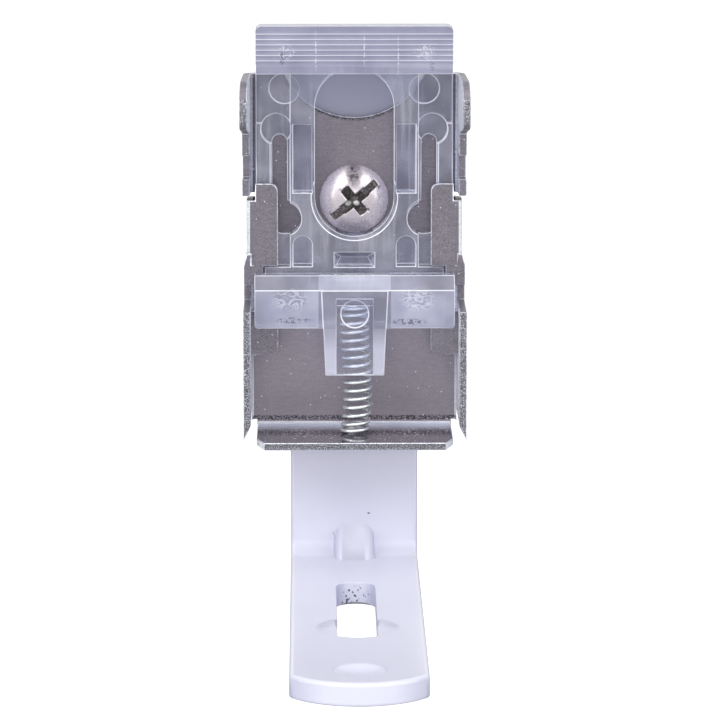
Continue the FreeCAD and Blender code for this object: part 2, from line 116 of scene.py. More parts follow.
def round_edges(work, radius, segments, slot=-1, skip=None):
    """Bevels the sharp edges that have room for it, and keeps the mesh inside its own box."""
    sharp = {edge for edge in work.edges if edge.calc_face_angle(0) > math.radians(26)}
    low = [min(vert.co[axis] for vert in work.verts) for axis in range(3)]
    high = [max(vert.co[axis] for vert in work.verts) for axis in range(3)]
    roomy = set()
    for vert in work.verts:
        ways = [edge.other_vert(vert).co - vert.co for edge in vert.link_edges if edge in sharp]
        wide = all(first.angle(second, 0) > math.radians(25) for first, second in combinations(ways, 2))
        if wide and min(edge.calc_length() for edge in vert.link_edges) > radius / 2:
            roomy.add(vert)
    chosen = [edge for edge in sharp if roomy.issuperset(edge.verts) and not (skip and skip(edge))]
    bmesh.ops.bevel(work, geom=chosen, offset=radius, offset_type="OFFSET", segments=segments, profile=0.5,
                    affect="EDGES", clamp_overlap=False, material=slot)
    for vert in work.verts:
        vert.co = [min(max(vert.co[axis], low[axis]), high[axis]) for axis in range(3)]


def rounded_copy(node, piece, *rounds):
    """A copy with its flat faces joined and its sharp edges rounded, one set of edges after another.
    Each round gives a radius, the segments, a material slot and a test for edges that it skips."""
    work = merged_mesh(node)
    join_flat_faces(work)
    for settings in rounds:
        round_edges(work, *settings)
    made = placed(work, piece, node)
    level_shading(made, sharp_degrees=30)
    return made


def blank_material(name):
    """A material with its node tree emptied down to one shader and the output."""
    made = bpy.data.materials.new(name)
    made.use_nodes = True
    tree = made.node_tree
    return made, tree, tree.nodes["Principled BSDF"]


def feed(tree, entry, value):
    """Gives an input another node's output or a plain value."""
    if isinstance(value, bpy.types.NodeSocket):
        tree.links.new(value, entry)
    else:
        entry.default_value = value


def calculated(tree, kind, operation, values):
    """The outputs of a node that works on some sockets or plain values."""
    made = tree.nodes.new(kind)
    made.operation = operation
    for entry, value in zip(made.inputs, values):
        feed(tree, entry, value)
    return made.outputs


def number_from(tree, operation, *values):
    return calculated(tree, "ShaderNodeMath", operation, values)["Value"]


def vector_from(tree, operation, *values):
    return calculated(tree, "ShaderNodeVectorMath", operation, values)["Vector"]


def length_of(tree, vector):
    return calculated(tree, "ShaderNodeVectorMath", "LENGTH", [vector])["Value"]


def piece_coordinates(tree, output="Object"):
    """Places or normals on the piece's own axes."""
    return tree.nodes.new("ShaderNodeTexCoord").outputs[output]


def mottle_group():
    """Two sizes of noise on the piece's own coordinates: a broad one and a fine one."""
    group = bpy.data.node_groups.new("mottle", "ShaderNodeTree")
    for label, kind, default in (("Broad Scale", "NodeSocketFloat", 60.0),
                                 ("Fine Scale", "NodeSocketFloat", 2500.0),
                                 ("Fine Detail", "NodeSocketFloat", 3.0),
                                 ("Stretch", "NodeSocketVector", (1, 1, 1))):
        entry = group.interface.new_socket(label, in_out="INPUT", socket_type=kind)
        entry.default_value = default
    for label in ("Broad", "Fine"):
        group.interface.new_socket(label, in_out="OUTPUT", socket_type="NodeSocketFloat")
    given = group.nodes.new("NodeGroupInput").outputs
    leave = group.nodes.new("NodeGroupOutput")
    where = piece_coordinates(group)
    stretched = vector_from(group, "MULTIPLY", where, given["Stretch"])
    for label, place, scale, detail in (("Broad", where, given["Broad Scale"], 2.0),
                                        ("Fine", stretched, given["Fine Scale"], given["Fine Detail"])):
        noise = group.nodes.new("ShaderNodeTexNoise")
        feed(group, noise.inputs["Vector"], place)
        feed(group, noise.inputs["Scale"], scale)
        feed(group, noise.inputs["Detail"], detail)
        feed(group, leave.inputs[label], noise.outputs["Fac"])
    return group


mottle = mottle_group()


def place_mottle(tree, broad, fine, detail=3.0, stretch=(1, 1, 1)):
    """The two noises at a material's own scales, with the fine one stretched along an axis."""
    made = tree.nodes.new("ShaderNodeGroup")
    made.node_tree = mottle
    made.inputs["Broad Scale"].default_value = broad
    made.inputs["Fine Scale"].default_value = fine
    made.inputs["Fine Detail"].default_value = detail
    made.inputs["Stretch"].default_value = stretch
    return made


def ramp(tree, source, stops):
    """A colour ramp from pairs of position and colour."""
    made = tree.nodes.new("ShaderNodeValToRGB")
    line = made.color_ramp
    while len(line.elements) < len(stops):
        line.elements.new(0.5)
    for element, (place, colour) in zip(line.elements, stops):
        element.position = place
        element.color = (*colour, 1.0)
    feed(tree, made.inputs["Fac"], source)
    return made.outputs["Color"]


def bump(tree, height, distance, strength, under=None):
    """A bump of a real height in metres."""
    made = tree.nodes.new("ShaderNodeBump")
    made.inputs["Strength"].default_value = strength
    made.inputs["Distance"].default_value = distance
    feed(tree, made.inputs["Height"], height)
    if under is not None:
        feed(tree, made.inputs["Normal"], under)
    return made.outputs["Normal"]


def blend_colours(tree, kind, share, first, second):
    """The second colour over the first by a share that is a number or a mask."""
    made = tree.nodes.new("ShaderNodeMix")
    made.data_type = "RGBA"
    made.blend_type = kind
    for value, entry in ((share, "Factor"), (first, "A"), (second, "B")):
        feed(tree, made.inputs[entry], value)
    return made.outputs["Result"]


def any_of(tree, *masks):
    """The greatest of some masks."""
    most = masks[0]
    for mask in masks[1:]:
        most = blend_colours(tree, "LIGHTEN", 1.0, most, mask)
    return most


def both_of(tree, first, second):
    """One mask inside another."""
    return blend_colours(tree, "MULTIPLY", 1.0, first, second)


def near_point(tree, centre, spread):
    """A mask that is one at a point of the piece and falls to nothing at the spread."""
    away = vector_from(tree, "SUBTRACT", piece_coordinates(tree), centre)
    scaled = vector_from(tree, "DIVIDE", away, spread)
    return ramp(tree, length_of(tree, scaled), [(0.6, white), (1.0, black)])


def distance_from_line(tree, kept_axes, centre):
    """Distance from a line through a point, square to the axes that are kept."""
    shift = [-place * kept for place, kept in zip(centre, kept_axes)]
    return length_of(tree, vector_from(tree, "MULTIPLY_ADD", piece_coordinates(tree), kept_axes, shift))


def near_ring(tree, centre, radius, width):
    """A mask along a ring that lies level on the piece."""
    off = number_from(tree, "SUBTRACT", distance_from_line(tree, (1, 1, 0), centre), radius)
    near = tree.nodes.new("ShaderNodeMapRange")
    feed(tree, near.inputs["Value"], number_from(tree, "ABSOLUTE", off))
    near.inputs["From Max"].default_value = width
    near.inputs["To Min"].default_value = 1.0
    near.inputs["To Max"].default_value = 0.0
    return both_of(tree, near.outputs["Result"], near_point(tree, centre, (0.008, 0.008, 0.0009)))


def facing_part(tree, axis):
    """How far the surface faces along one axis of the piece."""
    parts = tree.nodes.new("ShaderNodeSeparateXYZ")
    feed(tree, parts.inputs["Vector"], piece_coordinates(tree, "Normal"))
    return parts.outputs[axis]


def slot_chips(tree, grain):
    """Chipped coat in the slot's far wall, and darker along its lower edge."""
    chips = ramp(tree, grain.outputs["Fine"], [(0.37, white), (0.41, black)])
    far_wall = near_point(tree, (0.0, slot_far_wall, 0.0009), (0.0034, 0.0016, 0.0019))
    lower_edge = near_point(tree, (0.0, slot_far_wall, 0.0), (0.0034, 0.0016, 0.00035))
    return any_of(tree, both_of(tree, chips, far_wall), both_of(tree, lower_edge, (0.7, 0.7, 0.7, 1)))


def powder_coat():
    """Cool white coat with painted shade: a little darker in thin rings round the dish and the dimple, on
    its sides and behind the clip.
    """
    made, tree, shader = blank_material("white_powder_coat")
    grain = place_mottle(tree, broad=45.0, fine=2200.0, detail=4.0)
    tint = ramp(tree, grain.outputs["Broad"], [(0.2, (0.80, 0.805, 0.95)), (0.8, (0.84, 0.845, 0.985))])
    # painted shade: thin darker rings along the rims of the dish and the dimple
    rings = any_of(tree, near_ring(tree, dish_centre, dish_radius, 0.00016),
                   near_ring(tree, dimple_centre, dimple_radius, 0.0003))
    rim_shaded = blend_colours(tree, "MULTIPLY", rings, tint, (0.9, 0.9, 0.93, 1))
    # painted shade on the faces that turn sideways
    sides = ramp(tree, number_from(tree, "ABSOLUTE", facing_part(tree, "X")), [(0.4, black), (0.9, white)])
    side_shaded = blend_colours(tree, "MULTIPLY", sides, rim_shaded, (0.7, 0.7, 0.77, 1))
    # painted shade on the arm's face behind the clip
    painted_shade_behind_clip = near_point(tree, (0.0, arm_front, 0.0700), (any_width, 0.0012, 0.0150))
    shaded = blend_colours(tree, "MULTIPLY", painted_shade_behind_clip, side_shaded, (0.43, 0.43, 0.48, 1))
    speck = near_point(tree, (0.00196, arm_front, 0.0086), (0.00024, 0.0006, 0.00012))
    marked_spots = any_of(tree, slot_chips(tree, grain), speck)
    coloured = blend_colours(tree, "MIX", marked_spots, shaded, (0.07, 0.065, 0.085, 1))
    feed(tree, shader.inputs["Base Color"], coloured)
    shader.inputs["Roughness"].default_value = 0.2
    return made


def pressed_edge(edge):
    """An edge of the foot's slot, dish or dimple."""
    ends = [vert.co for vert in edge.verts]
    return all(abs(end.x) < pressed_side and pressed_start < end.y < pressed_end for end in ends)


def dish_edge(edge):
    """An edge of the dish or of the slot inside it."""
    ends = [vert.co for vert in edge.verts]
    return all(math.hypot(end.x, end.y - dish_centre[1]) < pressed_side and end.z > 0.002 for end in ends)


def not_slot_edge(edge):
    """Any edge but those of the slot and the dimple."""
    return dish_edge(edge) or not pressed_edge(edge)


arm = rounded_copy("wall_arm", "arm_coated", (coat_rounding, 4, -1, pressed_edge),
                   (slot_rounding, 2, -1, not_slot_edge))
arm.data.materials.append(powder_coat())
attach(arm, "bracket")


# Clip
# A folded sheet of 1 mm zinc plated steel: rolled faces with fine marks and white specks,
# and sheared edges and tabs that are left grainy. Its colour holds a painted highlight on the
# edges' rounding and along the floor's fold, painted light on the side walls, the floor's bend,
# the back of the plate and low on the plate, and painted shade in the crease above the fold.
plate_front = 0.0315
floor_top = 0.021
hollow_centre = (0.0, 0.0, 0.0732)
hollow_radius = 0.0103
hollow_rim_width = 0.00055
tab_reach = 0.0045
fold_height = 0.003
half_fold = 0.0015
sheared_rounding = 0.00011


def torn_share(facing, place):
    """How grainy a face is: sheared edges wholly, level cuts in part, tabs a little, the rest not."""
    if facing.y < -0.9 and place.y < plate_front - half_fold:
        return 0.12 if place.y > plate_front - tab_reach else 1.0
    level = abs(facing.z) > 0.9 and place.z > floor_top + half_fold and place.y < plate_front
    return 0.35 if level else 0.0


def turned_away(facing, place):
    """True for the side walls, the floor's bend and the back of the plate, which take the pale zinc with
    painted light.
    """
    bend = place.z < floor_top + fold_height and 0.15 < facing.z < 0.97
    outside = facing.y > 0.5 and place.y > plate_front
    return abs(facing.x) > 0.5 or bend or outside


def mark_sheet(piece):
    """Stores how torn each face is, and gives what turns away from the front its own slot: a pale zinc
    that is painted light.
    """
    torn = piece.data.attributes.new("sheared", "FLOAT", "FACE")
    for face in piece.data.polygons:
        torn.data[face.index].value = torn_share(face.normal, face.center)
        if face.material_index == zinc_slots.index("flat") and turned_away(face.normal, face.center):
            face.material_index = zinc_slots.index("bent")


def hollow_rim(tree):
    """A mask along the hollow's sheared rim on the back plate."""
    past = tree.nodes.new("ShaderNodeMapRange")
    feed(tree, past.inputs["Value"], distance_from_line(tree, (1, 0, 1), hollow_centre))
    past.inputs["From Min"].default_value = hollow_radius
    past.inputs["From Max"].default_value = hollow_radius + hollow_rim_width
    return ramp(tree, past.outputs["Result"], [(0.0, white), (0.55, white), (1.0, black)])


def scattered(tree, scale, full, gone):
    """A mask of spots round the points of a cell pattern."""
    cells = tree.nodes.new("ShaderNodeTexVoronoi")
    cells.inputs["Scale"].default_value = scale
    feed(tree, cells.inputs["Vector"], piece_coordinates(tree))
    return ramp(tree, cells.outputs["Distance"], [(full, white), (gone, black)])


def white_dust(tree, grain):
    """Specks all over the sheet, crumbs low on the plate and two loose heaps on the floor."""
    specks = scattered(tree, 900.0, 0.05, 0.09)
    clumps = ramp(tree, grain.outputs["Broad"], [(0.42, grey(0.2)), (0.55, white)])
    low = near_point(tree, (0.0, 0.0245, 0.0205), (any_width, 0.008, 0.0028))
    crumbs = both_of(tree, both_of(tree, clumps, scattered(tree, 1500.0, 0.15, 0.21)), low)
    heaps = any_of(tree, near_point(tree, (-0.0078, 0.0255, floor_top), (0.0026, 0.0045, 0.0006)),
                   near_point(tree, (0.0072, 0.0262, floor_top), (0.0022, 0.0045, 0.0006)))
    heaped = both_of(tree, heaps, scattered(tree, 1500.0, 0.25, 0.30))
    return any_of(tree, specks, crumbs, heaped)


def rolled_sheet(tree, grain, pits, dark, pale):
    """Streaks and pores between two tones, paler low on the plate by painted light, with a painted
    highlight along the floor's fold, painted shade with dark pits above the fold, and dark pits
    along the hollow's rim."""
    sheet = ramp(tree, grain.outputs["Broad"], [(0.3, dark), (0.7, pale)])
    streaks = ramp(tree, grain.outputs["Fine"], [(0.3, grey(0.76)), (0.7, grey(1.14))])
    pores = ramp(tree, pits.outputs["Fine"], [(0.36, grey(0.55)), (0.5, white)])
    streaked = blend_colours(tree, "MULTIPLY", 0.6, sheet, streaks)
    porous = blend_colours(tree, "MULTIPLY", 0.55, streaked, pores)
    # painted light: the plate is paler low down
    low = near_point(tree, (0.0, plate_front, 0.0265), (any_width, 0.002, 0.0170))
    paler = blend_colours(tree, "ADD", low, porous, (0.10, 0.09, 0.098, 1))
    # painted highlight along the floor's fold
    fold = near_point(tree, (0.0, 0.0312, floor_top), (any_width, 0.0013, 0.0004))
    folded = blend_colours(tree, "MIX", fold, paler, (0.75, 0.77, 0.87, 1))
    # painted shade in the crease above the fold, broken up by pits
    crease_shade = near_point(tree, (0.0, plate_front, 0.02205), (any_width, 0.001, 0.0004))
    pitted = ramp(tree, pits.outputs["Fine"], [(0.45, (0.12, 0.12, 0.14)), (0.6, white)])
    return blend_colours(tree, "MULTIPLY", any_of(tree, crease_shade, hollow_rim(tree)), folded, pitted)


def noise_between(tree, noise, low, high):
    """A level that follows a noise between two greys."""
    return ramp(tree, noise, [(0.3, grey(low)), (0.7, grey(high))])


def zinc_sheet(name, dark, pale, shine):
    """Zinc plate between two tones, dusty, satin but bright on the floor, grainy where sheared."""
    made, tree, shader = blank_material(name)
    grain = place_mottle(tree, broad=90.0, fine=700.0, detail=8.0, stretch=(1, 1, 4))
    pits = place_mottle(tree, broad=1500.0, fine=6500.0, detail=2.0)
    cut = tree.nodes.new("ShaderNodeAttribute")
    cut.attribute_name = "sheared"
    rolled = rolled_sheet(tree, grain, pits, dark, pale)
    dusty = blend_colours(tree, "MIX", white_dust(tree, grain), rolled, (0.9, 0.91, 0.97, 1))
    torn = ramp(tree, pits.outputs["Fine"], [(0.34, (0.05, 0.05, 0.06)), (0.48, (0.18, 0.178, 0.2)),
                                             (0.6, (0.34, 0.34, 0.39)), (0.72, (0.85, 0.86, 0.94))])
    coloured = blend_colours(tree, "MIX", cut.outputs["Fac"], dusty, torn)
    feed(tree, shader.inputs["Base Color"], coloured)
    shader.inputs["Metallic"].default_value = shine
    satin = noise_between(tree, grain.outputs["Fine"], 0.32, 0.44)
    floor = near_point(tree, (0.0, 0.0255, floor_top), (any_width, 0.0150, 0.0008))
    rubbed = blend_colours(tree, "MIX", floor, satin, (0.09, 0.09, 0.09, 1))
    feed(tree, shader.inputs["Roughness"], rubbed)
    rolling = bump(tree, grain.outputs["Fine"], 0.000006, 0.3)
    tearing = number_from(tree, "MULTIPLY", pits.outputs["Fine"], cut.outputs["Fac"])
    feed(tree, shader.inputs["Normal"], bump(tree, tearing, 0.00006, 0.4, rolling))
    return made


def zinc_edge_highlight():
    """The narrow rounding of the sheet's edges, pale as a painted highlight and brighter in places."""
    made, tree, shader = blank_material("zinc_edge_painted_highlight")
    grain = place_mottle(tree, broad=900.0, fine=3500.0, detail=2.0)
    tint = ramp(tree, grain.outputs["Fine"], [(0.35, (0.42, 0.43, 0.5)), (0.6, (0.8, 0.82, 0.9))])
    feed(tree, shader.inputs["Base Color"], tint)
    shader.inputs["Metallic"].default_value = 0.6
    feed(tree, shader.inputs["Roughness"], noise_between(tree, grain.outputs["Broad"], 0.25, 0.4))
    return made


zincs = {
    "flat": zinc_sheet("zinc_plate_flat", (0.20, 0.182, 0.219), (0.25, 0.228, 0.269), 0.55),
    # the edge copy is a painted highlight on the rounding of every sheared edge
    "edge": zinc_edge_highlight(),
    # the pale bent copy is painted light for the side walls, the floor's bend and the back of the plate
    "bent": zinc_sheet("zinc_plate_painted_light", (0.76, 0.79, 0.89), (0.92, 0.95, 1.0), 0.1),
}
zinc_slots = list(zincs)
clip = rounded_copy("housing", "clip_zinc", (sheared_rounding, 1, zinc_slots.index("edge")))
mark_sheet(clip)
for tone in zincs.values():
    clip.data.materials.append(tone)
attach(clip, "bracket")


# Clamp screw
# A 5 mm pan head screw in bright nickel with a combined cross and slot recess, turned through
# the clip's plate into the arm; its rolled thread shows behind the arm.
screw_axis = 0.052
head_height = 0.003
head_reach = 0.0045
dome_radius = 0.006088
dome_centre = Vector((0, plate_front - head_height + dome_radius, screw_axis))
dome_margin = 0.00007
seat_margin = 0.0001
head_rounding = 0.00008
shank_reach = 0.0024
thread_start = 0.03545
thread_end = 0.03725
thread_pitch = 0.0008
thread_depth = 0.00028
rings_per_turn = 8


def nickel_plate():
    """Bright nickel with faint turning marks and a painted dark reflection at the head's crown."""
    made, tree, shader = blank_material("nickel_plated_steel")
    grain = place_mottle(tree, broad=250.0, fine=2600.0, detail=3.0)
    tint = ramp(tree, grain.outputs["Broad"], [(0.3, (0.62, 0.565, 0.605)), (0.7, (0.70, 0.645, 0.68))])
    # painted dark reflection across the crown, with the turning marks in it
    crown = near_point(tree, (-0.0001, 0.0285, 0.0560), (0.0015, 0.003, 0.0024))
    turned = ramp(tree, grain.outputs["Fine"], [(0.4, (0.07, 0.06, 0.075)), (0.6, (0.26, 0.235, 0.265))])
    feed(tree, shader.inputs["Base Color"], blend_colours(tree, "MIX", crown, tint, turned))
    shader.inputs["Metallic"].default_value = 0.7
    feed(tree, shader.inputs["Roughness"], noise_between(tree, grain.outputs["Fine"], 0.24, 0.3))
    feed(tree, shader.inputs["Normal"], bump(tree, grain.outputs["Fine"], 0.000003, 0.3))
    return made


def recess_painted_shade():
    """The recess in painted shade, dark, with two spots of painted highlight."""
    made, tree, shader = blank_material("recess_painted_shade_and_highlights")
    grain = place_mottle(tree, broad=1100.0, fine=3800.0, detail=4.0)
    # painted shade: the recess's dark tones
    tint = ramp(tree, grain.outputs["Fine"], [(0.36, (0.035, 0.028, 0.03)), (0.52, (0.11, 0.095, 0.1)),
                                              (0.68, (0.3, 0.27, 0.28))])
    # two painted highlights on the recess walls
    spots = [near_point(tree, (across, 0.0305, 0.05145), (0.0005, 0.003, 0.00036))
             for across in (-0.0008, 0.0003)]
    marked_spots = blend_colours(tree, "MIX", any_of(tree, *spots), tint, (1, 1, 1, 1))
    feed(tree, shader.inputs["Base Color"], marked_spots)
    shader.inputs["Metallic"].default_value = 0.2
    feed(tree, shader.inputs["Roughness"], noise_between(tree, grain.outputs["Broad"], 0.3, 0.5))
    feed(tree, shader.inputs["Normal"], bump(tree, grain.outputs["Fine"], 0.00003, 0.4))
    return made


def cut_across(work, place, axis):
    """Cuts the mesh along a plane square to an axis."""
    bmesh.ops.bisect_plane(work, geom=work.verts[:] + work.edges[:] + work.faces[:], dist=1e-7,
                           plane_co=place, plane_no=axis)


def roll_thread(piece):
    """Rings the shank's tip finely and draws the rings in along a helix."""
    work = bmesh.new()
    work.from_mesh(piece.data)
    ring_gap = thread_pitch / rings_per_turn
    for step in range(int((thread_end - thread_start) / ring_gap) + 1):
        cut_across(work, (0, thread_start + step * ring_gap, 0), (0, 1, 0))
    for vert in work.verts:
        out, up = vert.co.x, vert.co.z - screw_axis
        reach = math.hypot(out, up)
        if thread_start <= vert.co.y <= thread_end and reach > shank_reach:
            phase = (vert.co.y / thread_pitch + math.atan2(up, out) / (2 * math.pi)) % 1
            keep = 1 - thread_depth * (1 - abs(2 * phase - 1)) / reach
            vert.co.x, vert.co.z = out * keep, screw_axis + up * keep
    work.to_mesh(piece.data)
    work.free()
    piece.data.set_sharp_from_angle(angle=math.radians(50))


def mark_recess(piece):
    """Gives the faces below the head's dome the recess's own slot."""
    for face in piece.data.polygons:
        spread = math.hypot(face.center.x, face.center.z - screw_axis)
        inside = (face.center - dome_centre).length < dome_radius - dome_margin
        if inside and spread < head_reach and face.center.y < plate_front - seat_margin:
            face.material_index = 1


screw = rounded_copy("clamp_screw", "screw_nickel", (head_rounding, 2))
roll_thread(screw)
screw.data.materials.append(nickel_plate())
screw.data.materials.append(recess_painted_shade())
mark_recess(screw)
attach(screw, "bracket")


# Release slider
# One clear moulding with a ribbed finger lip, a long window round the screw, pockets, a
# crossbar and a sleeve for the spring. It slides under the clip's tabs.
lip_foot = 0.0691
lip_edge = 0.0697
rib_foot = 0.0693
rib_front = 0.02695
rib_back = 0.0275
body_front = 0.030
body_back = 0.0311
wall_side = 0.0127
quarter_side = 0.0048
sleeve_side = 0.0025
bar_front = 0.0232
bar_back = 0.0268
brow_foot = 0.0408
bevel_foot = 0.0399
bar_foot = 0.0357
moulding_rounding = 0.00008
rib_rounding = 0.00004


def contour_lines(tree, noise, strength, *lines):
    """A mask that peaks along some levels of a noise, each with a start, a peak and an end."""
    stops = []
    for start, peak, end in lines:
        stops += [(start, black), (peak, grey(strength)), (end, black)]
    return ramp(tree, noise, stops)


def ripples(tree):
    """The crests and the troughs of two rippled spots on the crossbar."""
    noise = place_mottle(tree, broad=700.0, fine=700.0, detail=1.5, stretch=(0.7, 0, 1.3)).outputs["Fine"]
    spots = any_of(tree, *[near_point(tree, (across, bar_front, 0.0396), (0.0027, 0.003, 0.0017))
                           for across in (-0.0086, 0.0083)])
    crests = contour_lines(tree, noise, 0.6, (0.44, 0.49, 0.53), (0.56, 0.6, 0.64))
    troughs = contour_lines(tree, noise, 0.4, (0.38, 0.42, 0.46), (0.52, 0.545, 0.58))
    return both_of(tree, crests, spots), both_of(tree, troughs, spots)


def upright_seams(tree, grain):
    """Dotted seams that show through the lip."""
    seams = [near_point(tree, (across, body_front, middle), (0.00012, any_width, half))
             for across, middle, half in ((-0.0051, 0.0722, 0.0032), (0.0013, 0.0726, 0.0026),
                                          (0.0058, 0.0715, 0.0034))]
    return both_of(tree, ramp(tree, grain.outputs["Broad"], [(0.42, black), (0.55, grey(0.9))]),
                   any_of(tree, *seams))


def sparkling_flaws(tree, grain):
    """Bright flaws behind the lip's ends and along the foot of the body."""
    behind_lip = [near_point(tree, (-0.0090, body_front, 0.0722), (0.0013, any_width, 0.0012)),
                  near_point(tree, (0.0093, body_front, 0.0721), (0.0016, any_width, 0.0012))]
    low = [near_point(tree, (across, body_front, 0.0444), (0.0011, any_width, 0.0012))
           for across in (-0.0096, -0.0057, 0.0058, 0.0097)]
    return both_of(tree, ramp(tree, grain.outputs["Fine"], [(0.54, black), (0.6, white)]),
                   any_of(tree, *behind_lip, *low))


def dark_flecks(tree, grain):
    """Flecks low on the crossbar and stains beside the lip's flaws."""
    low_rows = [near_point(tree, (-0.0081, bar_front, 0.0368), (0.0028, 0.002, 0.0005)),
                near_point(tree, (0.0071, bar_front, 0.0366), (0.0028, 0.002, 0.0005))]
    stains = [near_point(tree, (-0.0096, body_front, 0.0712), (0.0004, any_width, 0.0011)),
              near_point(tree, (0.0103, body_front, 0.0703), (0.0004, any_width, 0.0008))]
    return both_of(tree, ramp(tree, grain.outputs["Fine"], [(0.44, grey(0.9)), (0.52, black)]),
                   any_of(tree, *low_rows, *stains))


def flow_strands(tree):
    """Pale strands that run up the body."""
    streak = place_mottle(tree, broad=300.0, fine=900.0, detail=3.0, stretch=(1, 0, 0.06))
    body = near_point(tree, (0.0, body_front, 0.0555), (0.021, any_width, 0.0155))
    return both_of(tree, ramp(tree, streak.outputs["Fine"], [(0.52, black), (0.68, grey(0.75))]), body)


def moulding_marks():
    """The marks of the moulding as a light and a dark mask."""
    group = bpy.data.node_groups.new("moulding_marks", "ShaderNodeTree")
    for label in ("Light", "Dark"):
        group.interface.new_socket(label, in_out="OUTPUT", socket_type="NodeSocketColor")
    leave = group.nodes.new("NodeGroupOutput")
    grain = place_mottle(group, broad=2600.0, fine=4200.0, detail=2.0)
    crests, troughs = ripples(group)
    light = any_of(group, crests, upright_seams(group, grain), sparkling_flaws(group, grain),
                   flow_strands(group))
    feed(group, leave.inputs["Light"], light)
    feed(group, leave.inputs["Dark"], any_of(group, troughs, dark_flecks(group, grain)))
    return group


marks = moulding_marks()


def clear_plastic(name, clearness, dark, pale, passing=0.82, foot=None):
    """Moulded plastic: how much light goes through it, the two tones of its flow marks, the
    share of a lamp's light that each face lets on to what is behind, and a paler foot."""
    made, tree, shader = blank_material(name)
    grain = place_mottle(tree, broad=220.0, fine=1100.0, detail=3.0)
    flow = ramp(tree, grain.outputs["Broad"], [(0.35, dark), (0.65, pale)])
    if foot:
        low = near_point(tree, (0.0, 0.026, 0.0285), (any_width, any_width, 0.0070))
        flow = blend_colours(tree, "MIX", low, flow, foot)
    marked = tree.nodes.new("ShaderNodeGroup")
    marked.node_tree = marks
    lightened = blend_colours(tree, "MIX", marked.outputs["Light"], flow, (0.9, 0.92, 1, 1))
    darkened = blend_colours(tree, "MIX", marked.outputs["Dark"], lightened, (0.16, 0.14, 0.2, 1))
    feed(tree, shader.inputs["Base Color"], darkened)
    shader.inputs["Transmission Weight"].default_value = clearness
    shader.inputs["IOR"].default_value = 1.49
    feed(tree, shader.inputs["Roughness"], noise_between(tree, grain.outputs["Fine"], 0.03, 0.1))
    feed(tree, shader.inputs["Normal"], bump(tree, grain.outputs["Broad"], 0.00004, 0.3))
    through = tree.nodes.new("ShaderNodeBsdfTransparent")
    through.inputs["Color"].default_value = (passing, passing, passing * 1.06, 1)
    passed = tree.nodes.new("ShaderNodeMixShader")
    feed(tree, passed.inputs["Fac"], tree.nodes.new("ShaderNodeLightPath").outputs["Is Shadow Ray"])
    feed(tree, passed.inputs[1], shader.outputs["BSDF"])
    feed(tree, passed.inputs[2], through.outputs["BSDF"])
    feed(tree, tree.nodes["Material Output"].inputs["Surface"], passed.outputs["Shader"])
    return made


# Each region of the moulding shows another depth of plastic, so it has its own clearness.
plastics = {
    "clear": clear_plastic("clear_plastic", 0.95, (0.76, 0.78, 0.90), (0.90, 0.91, 0.98)),
    # the edge tone is opaque and pale: a painted highlight on the bevel along every sharp edge
    "edge": clear_plastic("clear_plastic_edge_highlight", 0.0, (0.80, 0.82, 0.91), (0.94, 0.94, 1.0)),
    "lip": clear_plastic("clear_plastic_lip", 0.4, (0.37, 0.37, 0.51), (0.45, 0.45, 0.60), passing=0.5),
    "haze": clear_plastic("clear_plastic_haze", 0.70, (0.36, 0.37, 0.46), (0.68, 0.69, 0.81)),
    "milky": clear_plastic("clear_plastic_milky", 0.3, (0.42, 0.43, 0.56), (0.60, 0.61, 0.75)),
    "wall": clear_plastic("clear_plastic_wall", 0.35, (0.66, 0.68, 0.80), (0.9, 0.91, 1.0)),
    "bar": clear_plastic("clear_plastic_bar", 0.48, (0.32, 0.32, 0.42), (0.50, 0.50, 0.62)),
    "leg": clear_plastic("clear_plastic_leg", 0.4, (0.42, 0.43, 0.54), (0.52, 0.53, 0.65),
                         foot=(0.80, 0.81, 0.97, 1)),
}
plastic_slots = list(plastics)


def plastic_region(facing, place):
    """The region that a face belongs to, by the way it faces and its place."""
    across = abs(place.x)
    if place.z > lip_foot:
        return "lip"
    if abs(facing.y) < 0.3:
        inner = across < wall_side and place.y < body_back and abs(facing.z) < 0.9
        return "wall" if inner else "clear"
    if facing.y > 0 or (across < sleeve_side and place.z < bevel_foot and place.y < bar_back):
        return "clear"
    if place.z < bar_foot:
        return "leg"
    if place.y > bar_back:
        return "haze"
    quarter = across > quarter_side and place.z < brow_foot
    brow = across < quarter_side and place.z > brow_foot
    return "milky" if quarter or brow else "bar"


def lip_valley(edge):
    """The inner corners between the lip's ribs stay sharp."""
    return all(vert.co.z > rib_foot and rib_front < vert.co.y < rib_back for vert in edge.verts)


def lip_or_valley(edge):
    return lip_valley(edge) or all(vert.co.z > lip_edge for vert in edge.verts)


def body_or_valley(edge):
    return lip_valley(edge) or any(vert.co.z < lip_edge for vert in edge.verts)


def clear_copy(node, piece):
    """A copy cut into its regions, with a narrow bevel along each sharp edge that takes the pale edge
    tone, a painted highlight.
    """
    work = merged_mesh(node)
    for across in (-wall_side, -quarter_side, -sleeve_side, sleeve_side, quarter_side, wall_side):
        cut_across(work, (across, 0, 0), (1, 0, 0))
    for height in (bar_foot, bevel_foot):
        cut_across(work, (0, 0, height), (0, 0, 1))
    for face in work.faces:
        region = plastic_region(face.normal, face.calc_center_median())
        face.material_index = plastic_slots.index(region)
    join_flat_faces(work, delimit={"MATERIAL"})
    round_edges(work, moulding_rounding, 1, plastic_slots.index("edge"), lip_or_valley)
    round_edges(work, rib_rounding, 1, plastic_slots.index("edge"), body_or_valley)
    made = placed(work, piece, node)
    level_shading(made, sharp_degrees=24)
    return made


slider = clear_copy("release_slider", "slider_clear")
for tone in plastics.values():
    slider.data.materials.append(tone)
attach(slider, "slider")


# Return spring
# Drawn steel wire wound to a small compression spring with closed end turns. It stands on the
# clip's floor inside the slider's sleeve.
wire_radius = 0.00027
coil_radius = 0.00173
coil_turns = 16
coil_low = 0.02105
coil_high = 0.03875
coil_y = plate_front - 0.0056
closed_pitch = wire_radius * 2.3
sections_per_turn = 40
wire_sides = 10
bow = 0.0004
bow_height = 0.012


